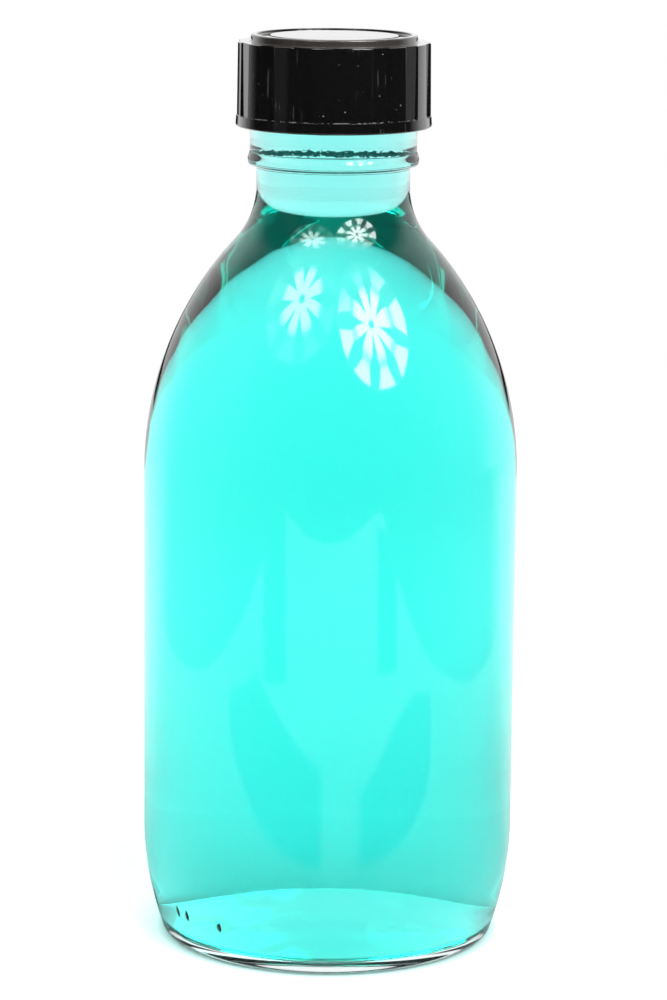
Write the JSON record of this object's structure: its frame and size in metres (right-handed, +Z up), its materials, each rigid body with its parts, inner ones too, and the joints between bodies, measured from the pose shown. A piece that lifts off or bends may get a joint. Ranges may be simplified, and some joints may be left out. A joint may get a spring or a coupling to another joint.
{
  "type": "syrup bottle",
  "caption": "Round clear glass syrup bottle with a domed shoulder and threaded neck, a ribbed black screw cap with a liner, and a turquoise liquid fill.",
  "frame": {"origin": "centre of the plane that the bottle stands on, under the bottle's axis", "axes": "+Z up along the bottle's axis; -Y is the side that faces the camera in the picture"},
  "size_m": [0.0572, 0.0572, 0.1388],
  "materials": {
    "clear_glass": "polished clear moulded glass",
    "turquoise_syrup": "clear turquoise liquid",
    "liner_film": "smooth film",
    "liner_board": "dull compressible board",
    "black_plastic": "glossy moulded plastic with fine scratches"
  },
  "bodies": {
    "bottle": {"glass_bottle": "clear_glass", "syrup": "turquoise_syrup"},
    "liner": {"liner_facing": "liner_film", "liner_board": "liner_board"},
    "cap": {"screw_cap": "black_plastic"}
  },
  "joints": [
    {"name": "cap_lift", "type": "slide", "parent": "bottle", "child": "liner", "axis": [0, 0, 1], "range_m": [0, 0.0127]},
    {"name": "cap_turn", "type": "hinge", "parent": "liner", "child": "cap", "pos_m": [0, 0, 0.13], "axis": [0, 0, 1], "range_deg": [0, 1080]}
  ],
  "couplings": [
    {"joint": "cap_lift", "follows": "cap_turn", "m_per_rad": 0.00067323}
  ]
}
